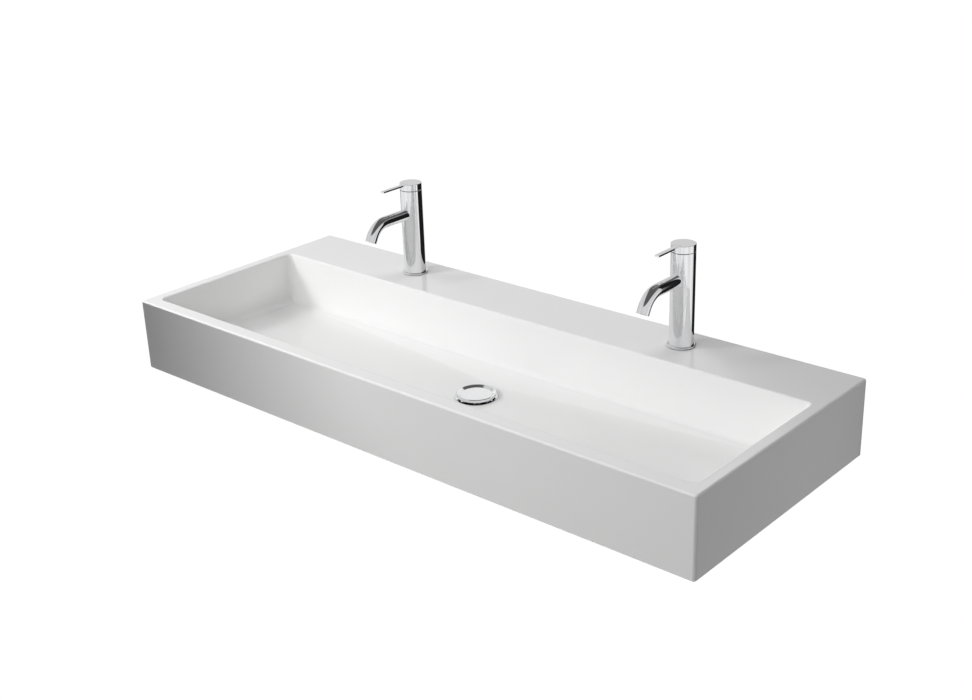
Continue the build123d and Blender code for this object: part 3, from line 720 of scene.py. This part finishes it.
@dataclass
class Tap:
    """One single-lever tap. Sizes are in millimetres above the platform, as on its drawing."""

    side: Side
    workshop: Workshop
    spacing: float = 600.0
    from_wall: float = 59.0
    platform: float = 47.0
    rounding: float = 0.3

    ring_radius: float = 24.0
    ring_top: float = 3.5
    ring_edge: float = 1.2
    ring_edge_steps: int = 6
    ring_bore: float = 17.2
    seal: float = 0.8

    column_radius: float = 20.5
    column_top: float = 162.0
    chamber_radius: float = 17.7
    chamber_floor: float = 128.0
    partition_bottom: float = 98.0
    lower_bore: float = 15.5
    foot_bore: float = 16.82
    foot_bore_top: float = 22.0

    spout_radius: float = 10.6
    spout_sides: int = 72
    spout_height: float = 117.0
    spout_root: float = 13.0
    spout_straight: float = 72.0
    spout_bend: float = 38.0
    spout_turn_deg: float = 62.0
    spout_turn_steps: int = 28
    spout_end: float = 10.0
    mouth_radius: float = 9.2
    mouth_depth: float = 8.0

    lever_width: float = 8.5
    lever_thickness: float = 3.0
    lever_reach: float = 74.0
    lever_root: float = 12.0
    lever_top: float = 175.0
    lever_edge: float = 0.45

    stud_radius: float = 4.0
    stud_root: float = 3.4
    stud_back: float = 10.5
    stud_bottom: float = -60.0
    stud_top: float = 12.0
    stud_thread: tuple[float, float] = (-59.0, 11.5)
    stud_pitch: float = 1.25
    stud_sides: int = 32

    @property
    def centre(self) -> Vector:
        """The point where the tap's axis meets the platform."""
        return Vector(mm(self.side.value * self.spacing / 2, -self.from_wall, self.platform))

    def node(self, name: str) -> str:
        """The name of this tap's node."""
        return f"{self.side.prefix}_{name}"

    def build(self) -> None:
        """Builds the pieces that show, each in place of its node."""
        self._add("base_ring", self._base_ring(), "washbasin", Slot.CHROME)
        self._add("column", self._column(), "washbasin", Slot.CHROME)
        self._add("spout", self._spout(), "washbasin", Slot.CHROME)
        self._add("lever", self._lever(), f"{self.side.prefix}_handle", Slot.CHROME)
        self._add("mounting_stud", self._stud(), "washbasin", Slot.STEEL)

    def _add(self, name: str, mesh: bmesh.types.BMesh, body: str, slot: Slot) -> None:
        """Adds a piece in place of the node of the same name."""
        self.workshop.add(self.node(name) + "_fine", mesh, body, slot, self.node(name))

    def _base_ring(self) -> bmesh.types.BMesh:
        """Foot ring with a softly rounded shoulder."""
        low, high = self.seal, self.ring_top
        bore, outer, edge = self.ring_bore, self.ring_radius, self.ring_edge
        loop = [(bore, low), (outer, low), (outer, high - edge)]
        for step in range(1, self.ring_edge_steps):
            angle = QUARTER_TURN * step / self.ring_edge_steps
            radius = outer - edge * (1 - math.cos(angle))
            loop.append((radius, high - edge * (1 - math.sin(angle))))
        loop += [(outer - edge, high), (bore, high), (bore, low)]
        return turned([mm(*corner) for corner in loop], self.centre)

    def _column(self) -> bmesh.types.BMesh:
        """Pillar, open at the foot and at the cartridge chamber, with fine rounded rims."""
        outline = [
            (0, self.partition_bottom),
            (self.lower_bore, self.partition_bottom),
            (self.lower_bore, self.foot_bore_top),
            (self.foot_bore, self.foot_bore_top),
            (self.foot_bore, self.ring_top),
            (self.column_radius, self.ring_top),
            (self.column_radius, self.column_top),
            (self.chamber_radius, self.column_top),
            (self.chamber_radius, self.chamber_floor),
            (0, self.chamber_floor),
        ]
        mesh = turned([mm(*corner) for corner in outline], self.centre)
        bevel_corners(mesh, self.rounding * MILLIMETRE)
        return mesh

    def _spout(self) -> bmesh.types.BMesh:
        """Tube that runs straight out, bends down and opens into a wider mouth."""
        mesh = bmesh.new()
        root = self.centre + Vector(mm(0, -self.spout_root, self.spout_height))
        upright = Matrix.Translation(root) @ Matrix.Rotation(QUARTER_TURN, 4, "X")
        bmesh.ops.create_circle(
            mesh, cap_ends=True, segments=self.spout_sides,
            radius=self.spout_radius * MILLIMETRE, matrix=upright,
        )
        rim = [edge for edge in mesh.edges if edge.is_boundary]
        straight = self.spout_straight - self.spout_root
        rim = self._extruded(mesh, rim, Vector(mm(0, -straight, 0)))
        hub = self.centre + Vector(mm(0, -self.spout_straight, self.spout_height - self.spout_bend))
        turn = math.radians(self.spout_turn_deg)
        bent = bmesh.ops.spin(
            mesh, geom=rim, cent=hub, axis=(1, 0, 0), angle=turn, steps=self.spout_turn_steps
        )
        rim = [item for item in bent["geom_last"] if isinstance(item, bmesh.types.BMEdge)]
        out = Vector((0, -math.cos(turn), -math.sin(turn)))
        rim = self._extruded(mesh, rim, out * self.spout_end * MILLIMETRE)
        corners = self._corners(rim)
        mouth = sum((vert.co for vert in corners), Vector()) / len(corners)
        rim = self._extruded(mesh, rim, Vector())
        share = self.mouth_radius / self.spout_radius
        for vert in self._corners(rim):
            vert.co = mouth + (vert.co - mouth) * share
        rim = self._extruded(mesh, rim, out * -self.mouth_depth * MILLIMETRE)
        bmesh.ops.edgeloop_fill(mesh, edges=rim)
        bmesh.ops.remove_doubles(mesh, verts=mesh.verts, dist=SAME_PLACE)
        bmesh.ops.recalc_face_normals(mesh, faces=mesh.faces)
        bevel_corners(mesh, self.rounding * MILLIMETRE)
        return mesh

    @staticmethod
    def _corners(edges: list[bmesh.types.BMEdge]) -> list[bmesh.types.BMVert]:
        """The vertices of some edges, each once and always in the same order."""
        return list(dict.fromkeys(vert for edge in edges for vert in edge.verts))

    @staticmethod
    def _extruded(
        mesh: bmesh.types.BMesh, edges: list[bmesh.types.BMEdge], move: Vector
    ) -> list[bmesh.types.BMEdge]:
        """Extrudes a ring of edges and moves the new ring.

        Args:
            mesh: The mesh to change.
            edges: The ring.
            move: How far the new ring goes.

        Returns:
            The edges of the new ring.
        """
        grown = bmesh.ops.extrude_edge_only(mesh, edges=edges)["geom"]
        verts = [item for item in grown if isinstance(item, bmesh.types.BMVert)]
        bmesh.ops.translate(mesh, verts=verts, vec=move)
        known = set(verts)
        return [
            item for item in grown
            if isinstance(item, bmesh.types.BMEdge) and all(vert in known for vert in item.verts)
        ]

    def _lever(self) -> bmesh.types.BMesh:
        """Flat bar with softly rounded long edges and end."""
        mesh = bmesh.new()
        bmesh.ops.create_cube(mesh, size=1.0)
        length = self.lever_reach - self.lever_root
        size = mm(self.lever_width, length, self.lever_thickness)
        middle = mm(0, -self.lever_root - length / 2, self.lever_top - self.lever_thickness / 2)
        bmesh.ops.scale(mesh, verts=mesh.verts, vec=size)
        bmesh.ops.translate(mesh, verts=mesh.verts, vec=self.centre + Vector(middle))
        bevel_corners(mesh, self.lever_edge * MILLIMETRE)
        return mesh

    def _stud(self) -> bmesh.types.BMesh:
        """Threaded rod under the tap."""
        outline = [
            (0, self.stud_top),
            (self.stud_root, self.stud_top),
            *threaded(self.stud_radius, self.stud_root, *self.stud_thread, self.stud_pitch),
            (self.stud_root, self.stud_bottom),
            (0, self.stud_bottom),
        ]
        foot = self.centre + Vector(mm(0, self.stud_back, 0))
        return turned([mm(*corner) for corner in outline], foot, steps=self.stud_sides)


@dataclass
class Waste:
    """The push plug and its spring. Sizes are in millimetres above the basin's underside."""

    workshop: Workshop
    from_wall: float = 230.0
    underside: float = -85.0
    plug_radius: float = 34.0
    plug_bottom: float = 22.0
    plug_top: float = 27.0
    plug_edge: float = 0.8
    plug_sides: int = 128
    rounding: float = 0.25
    rim: float = 2.5
    dish_radius: float = 26.5
    dish_floor: float = 23.7
    boss_radius: float = 7.0
    boss_bottom: float = 16.0
    seal_groove: tuple[float, float] = (27.5, 31.0)
    seal_groove_depth: float = 0.6

    spring_radius: float = 5.9
    spring_wire: float = 0.5
    wire_sides: int = 14
    spring_bottom: float = 0.6
    spring_top: float = 15.4
    spring_turns: float = 4.5
    steps_per_turn: int = 36
    spring_pressed: float = 0.7

    @property
    def centre(self) -> Vector:
        """The point on the waste's axis level with the basin's underside."""
        return Vector(mm(0, -self.from_wall, self.underside))

    def build(self) -> None:
        """Builds the plug and the spring in place of their nodes."""
        self.workshop.add("plug_cap_fine", self._plug(), "plug", Slot.CHROME, "plug_cap")
        spring = self.workshop.add(
            "plug_spring_fine", self._spring(), "washbasin", Slot.STEEL, "plug_spring"
        )
        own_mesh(spring)

    def _plug(self) -> bmesh.types.BMesh:
        """Dished plug with a boss and a groove for its seal."""
        roof = self.plug_bottom + self.seal_groove_depth
        outline = [
            (0, self.boss_bottom),
            (self.boss_radius, self.boss_bottom),
            (self.boss_radius, self.plug_bottom),
            (self.seal_groove[0], self.plug_bottom),
            (self.seal_groove[0], roof),
            (self.seal_groove[1], roof),
            (self.seal_groove[1], self.plug_bottom),
            (self.plug_radius, self.plug_bottom),
            (self.plug_radius, self.plug_top - self.plug_edge),
            (self.plug_radius - self.plug_edge, self.plug_top),
            (self.plug_radius - self.rim, self.plug_top),
            (self.dish_radius, self.dish_floor),
            (0, self.dish_floor),
        ]
        mesh = turned([mm(*corner) for corner in outline], self.centre, steps=self.plug_sides)
        bevel_corners(mesh, self.rounding * MILLIMETRE)
        return mesh

    def _spring(self) -> bmesh.types.BMesh:
        """Spring between the guide and the plug's boss, wound by a rising spin."""
        mesh = bmesh.new()
        start = self.centre + Vector(mm(self.spring_radius, 0, self.spring_bottom))
        upright = Matrix.Translation(start) @ Matrix.Rotation(QUARTER_TURN, 4, "X")
        bmesh.ops.create_circle(
            mesh, segments=self.wire_sides, radius=self.spring_wire * MILLIMETRE, matrix=upright
        )
        steps = round(self.spring_turns * self.steps_per_turn)
        rise = (self.spring_top - self.spring_bottom) * MILLIMETRE / steps
        bmesh.ops.spin(
            mesh, geom=mesh.verts[:] + mesh.edges[:], cent=self.centre, axis=(0, 0, 1),
            dvec=(0, 0, rise), angle=FULL_TURN * self.spring_turns, steps=steps,
        )
        bmesh.ops.holes_fill(mesh, edges=[edge for edge in mesh.edges if edge.is_boundary])
        bmesh.ops.recalc_face_normals(mesh, faces=mesh.faces)
        return mesh


@dataclass(frozen=True)
class Card:
    """A flat card of the studio, which only reflections show.

    Attributes:
        name: The card's name.
        centre: Where it stands.
        aim: The point that it faces.
        width: Its width, in metres.
        height: Its height, in metres.
        tone: Its brightness in reflections.
        fade: The share of its width and height over which each edge fades out.
    """

    name: str
    centre: tuple[float, float, float]
    aim: tuple[float, float, float]
    width: float
    height: float
    tone: float
    fade: float


@dataclass(frozen=True)
class SoftLamp:
    """A rectangular soft lamp, with its size in metres and its power in watts."""

    name: str
    centre: tuple[float, float, float]
    aim: tuple[float, float, float]
    width: float
    height: float
    power: float


@dataclass
class Studio:
    """The floor, the surroundings, the lamps, the reflection cards and the net at the front."""

    floor_height: float = -0.95
    floor_half: float = 12.0
    floor_tones: tuple[float, float] = (0.5, 0.48)
    floor_patch_scale: float = 2.0
    floor_roughness: float = 0.8
    floor_glow: float = 1.06
    floor_glow_share: float = 0.95
    mirror_tone: tuple[float, float] = (0.6, 1.2)
    mirror_patch_scale: float = 0.7

    fill: float = 0.16
    sky_tone: tuple[float, float] = (0.5, 0.85)
    sky_patch_scale: float = 2.0
    ceiling_rise: tuple[float, float] = (0.5, 0.62)
    ceiling_tone: float = 0.16
    window_bearing: float = math.radians(210)
    window_edge: tuple[float, float] = (0.3, 0.5)

    lamps: tuple[SoftLamp, ...] = (
        SoftLamp("front", (0.0, -2.2, 1.1), (0.0, -0.3, 0.0), 1.6, 0.9, 21.0),
        SoftLamp("front_left", (-1.4, -1.8, 1.2), (-0.2, -0.3, 0.0), 0.5, 0.5, 20.5),
        SoftLamp("left", (-2.2, -0.3, 1.2), (0.0, -0.3, 0.0), 1.2, 1.0, 7.5),
        SoftLamp("top_left", (-1.3, -0.6, 1.9), (0.0, -0.2, 0.0), 1.3, 1.3, 4.5),
        SoftLamp("back", (0.0, 1.5, 1.6), (0.0, -0.3, 0.0), 1.6, 1.0, 15.0),
        SoftLamp("right", (2.2, 0.2, 0.9), (0.3, -0.3, 0.0), 1.2, 1.0, 2.4),
    )

    scrim_height: float = 0.046
    scrim_corners: tuple[tuple[float, float], ...] = ((-1.6, -1.3), (1.6, -0.4705))
    scrim_grade: tuple[float, float] = (-0.64, -0.06)
    scrim_passes: tuple[float, float] = (0.0, 0.78)

    cards: tuple[Card, ...] = (
        Card("black_flag", (0.0, 1.05, 0.175), (-0.2975, 0.648, 0.175), 2.04, 1.35, 0.012, 0.025),
        Card("left_line", (-1.9, 0.35, -0.5), (-0.2, -0.06, 0.0), 0.7, 1.6, 0.2, 0.3),
    )

    def build(self) -> None:
        """Builds everything in the studio."""
        self._floor()
        self._surroundings()
        for lamp in self.lamps:
            self._lamp(lamp)
        for card in self.cards:
            self._card(card)
        self._scrim()
        bpy.context.scene.view_settings.view_transform = "Standard"
        log.info("studio: %d lamps, %d cards", len(self.lamps), len(self.cards))

    def _floor(self) -> None:
        """A wide pale floor well below the basin, which hangs on a wall, seen only from above."""
        mesh = level_square(self.floor_half)
        bmesh.ops.translate(mesh, verts=mesh.verts, vec=(0, 0, self.floor_height))
        floor = new_piece("studio_floor", mesh)
        material, wiring = begin_material("pale_floor")
        place = wiring.object_place()
        path = wiring.node("ShaderNodeLightPath").outputs
        shader = wiring.node("ShaderNodeBsdfPrincipled")
        patches = wiring.noise(place, self.floor_patch_scale)
        tones = (grey(tone) for tone in self.floor_tones)
        wiring.feed(shader, "Base Color", wiring.blend(patches, *tones))
        wiring.feed(shader, "Roughness", self.floor_roughness)
        glow = wiring.node("ShaderNodeEmission")
        wiring.feed(glow, "Color", WHITE)
        uneven = wiring.spread(wiring.noise(place, self.mirror_patch_scale), *self.mirror_tone)
        missing = wiring.math("SUBTRACT", self.floor_glow, uneven)
        dimmed = wiring.math("MULTIPLY", path["Is Glossy Ray"], missing)
        wiring.feed(glow, "Strength", wiring.math("SUBTRACT", self.floor_glow, dimmed))
        eye = wiring.math("MAXIMUM", path["Is Camera Ray"], path["Is Glossy Ray"])
        eye = wiring.math("MAXIMUM", eye, path["Is Transmission Ray"])
        seen = wiring.math("MULTIPLY", eye, self.floor_glow_share)
        both = wiring.mixed(seen, shader.outputs[0], glow.outputs[0])
        from_below = wiring.node("ShaderNodeNewGeometry").outputs["Backfacing"]
        clear = wiring.node("ShaderNodeBsdfTransparent").outputs[0]
        wiring.show(wiring.mixed(from_below, both, clear))
        floor.data.materials.append(material)

    def _surroundings(self) -> None:
        """White to the eye and a soft fill on the object; reflections see it dark overhead."""
        world = bpy.data.worlds.new("studio_air")
        world.use_nodes = True
        wiring = Wiring(world.node_tree)
        path = wiring.node("ShaderNodeLightPath").outputs
        around = wiring.node("ShaderNodeTexCoord").outputs["Generated"]
        uneven = wiring.spread(wiring.noise(around, self.sky_patch_scale), *self.sky_tone)
        towards = wiring.axes(around)
        east = wiring.math("MULTIPLY", towards["X"], math.cos(self.window_bearing))
        north = wiring.math("MULTIPLY", towards["Y"], math.sin(self.window_bearing))
        facing = wiring.math("ADD", east, north)
        window = wiring.ramp(facing, (*self.window_edge, 0.0, 1.0), "SMOOTHSTEP")
        dark_above = (*self.ceiling_rise, 1.0, self.ceiling_tone)
        overhead = wiring.ramp(towards["Z"], dark_above, "SMOOTHSTEP")
        tone = wiring.math("MULTIPLY", uneven, wiring.math("MAXIMUM", overhead, window))
        extra = wiring.math("SUBTRACT", tone, self.fill)
        mirrored = wiring.math("MULTIPLY", path["Is Glossy Ray"], extra)
        seen = wiring.math("MULTIPLY", path["Is Camera Ray"], 1.0 - self.fill)
        strength = wiring.math("ADD", wiring.math("ADD", mirrored, seen), self.fill)
        air = wiring.node("ShaderNodeBackground")
        wiring.feed(air, "Color", WHITE)
        wiring.feed(air, "Strength", strength)
        wiring.show(air.outputs[0], "ShaderNodeOutputWorld")
        bpy.context.scene.world = world

    def _lamp(self, lamp: SoftLamp) -> None:
        """Adds a soft lamp, which lights the object but doesn't show in its reflections.

        Args:
            lamp: Its place, size and power.
        """
        data = bpy.data.lights.new(lamp.name, "AREA")
        data.shape = "RECTANGLE"
        data.size, data.size_y = lamp.width, lamp.height
        data.energy = lamp.power
        light = bpy.data.objects.new(lamp.name, data)
        light.visible_glossy = False
        aim_along(light, lamp.centre, lamp.aim)
        bpy.context.scene.collection.objects.link(light)

    def _card(self, card: Card) -> None:
        """Adds a card that only reflections show.

        Args:
            card: Its place, size and tone.
        """
        mesh = level_square(0.5)
        bmesh.ops.scale(mesh, verts=mesh.verts, vec=(card.width, card.height, 1))
        piece = new_piece("studio_" + card.name, mesh)
        aim_along(piece, card.centre, card.aim)
        material, wiring = begin_material(card.name)
        glow = wiring.node("ShaderNodeEmission")
        wiring.feed(glow, "Color", grey(card.tone))
        place = wiring.axes(wiring.object_place())
        cover = 1.0
        for axis, size in (("X", card.width), ("Y", card.height)):
            from_middle = wiring.math("ABSOLUTE", place[axis])
            from_edge = wiring.math("SUBTRACT", size / 2, from_middle)
            share = wiring.math("DIVIDE", from_edge, card.fade * size, clamp=True)
            cover = wiring.math("MULTIPLY", share, cover)
        clear = wiring.node("ShaderNodeBsdfTransparent").outputs[0]
        wiring.show(wiring.mixed(cover, clear, glow.outputs[0]))
        piece.data.materials.append(material)
        piece.visible_camera = piece.visible_diffuse = piece.visible_shadow = False
        piece.visible_transmission = piece.visible_volume_scatter = False

    def _scrim(self) -> None:
        """A level net before the front face, denser to the left, that only light meets."""
        mesh = level_square(0.5)
        low, high = self.scrim_corners
        size = (high[0] - low[0], high[1] - low[1], 1)
        bmesh.ops.scale(mesh, verts=mesh.verts, vec=size)
        middle = ((low[0] + high[0]) / 2, (low[1] + high[1]) / 2, self.scrim_height)
        bmesh.ops.translate(mesh, verts=mesh.verts, vec=middle)
        piece = new_piece("studio_scrim", mesh)
        material, wiring = begin_material("graded_net")
        along = wiring.axes(wiring.object_place())["X"]
        net = wiring.node("ShaderNodeBsdfTransparent")
        wiring.feed(net, "Color", wiring.ramp(along, (*self.scrim_grade, *self.scrim_passes)))
        wiring.show(net.outputs[0])
        piece.data.materials.append(material)
        piece.visible_camera = piece.visible_glossy = False


def aim_along(
    thing: bpy.types.Object, centre: tuple[float, float, float], aim: tuple[float, float, float]
) -> None:
    """Puts a lamp or a card in its place and turns its face to a point.

    Args:
        thing: The lamp or card.
        centre: Where it stands.
        aim: The point that it faces.
    """
    place = Vector(centre)
    turn = (Vector(aim) - place).to_track_quat("-Z", "Y")
    thing.matrix_world = Matrix.Translation(place) @ turn.to_matrix().to_4x4()


@dataclass(frozen=True)
class PhotoCamera:
    """The camera of the photograph, as fitted to the corners of the basin."""

    eye: tuple[float, float, float] = (1.4694, -1.8402, 0.9405)
    azimuth: float = math.radians(41.88)
    elevation: float = math.radians(22.91)
    roll: float = math.radians(-2.02)
    focal_px: float = 1403.0
    sensor_mm: float = 36.0
    clip: tuple[float, float] = (0.01, 60.0)

    def build(self) -> None:
        """Adds the camera and makes it the scene's."""
        level, rise = math.cos(self.elevation), math.sin(self.elevation)
        ahead = Vector((-math.sin(self.azimuth) * level, math.cos(self.azimuth) * level, -rise))
        right = ahead.cross(Vector((0, 0, 1))).normalized()
        up = right.cross(ahead)
        cos, sin = math.cos(self.roll), math.sin(self.roll)
        tilted_right = right * cos + up * sin
        tilted_up = up * cos - right * sin
        data = bpy.data.cameras.new("photo_camera")
        data.sensor_fit = "HORIZONTAL"
        data.sensor_width = self.sensor_mm
        data.lens = self.focal_px / PHOTO_WIDTH_PX * self.sensor_mm
        data.clip_start, data.clip_end = self.clip
        camera = bpy.data.objects.new("photo_camera", data)
        turn = Matrix((tilted_right, tilted_up, -ahead)).transposed().to_4x4()
        camera.matrix_world = Matrix.Translation(Vector(self.eye)) @ turn
        bpy.context.scene.collection.objects.link(camera)
        bpy.context.scene.camera = camera
        log.info("camera at %s", self.eye)


def main() -> None:
    """Builds the pieces in order."""
    logging.basicConfig(level=logging.INFO, format="%(name)s: %(message)s")
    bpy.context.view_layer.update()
    wardrobe = Wardrobe(FINISHES)
    wardrobe.dress_nodes(frame["record"], frame["nodes"])
    workshop = Workshop(wardrobe)
    for side in Side:
        Tap(side, workshop).build()
    Waste(workshop).build()
    Studio().build()
    PhotoCamera().build()


if __name__ == "__main__":
    main()
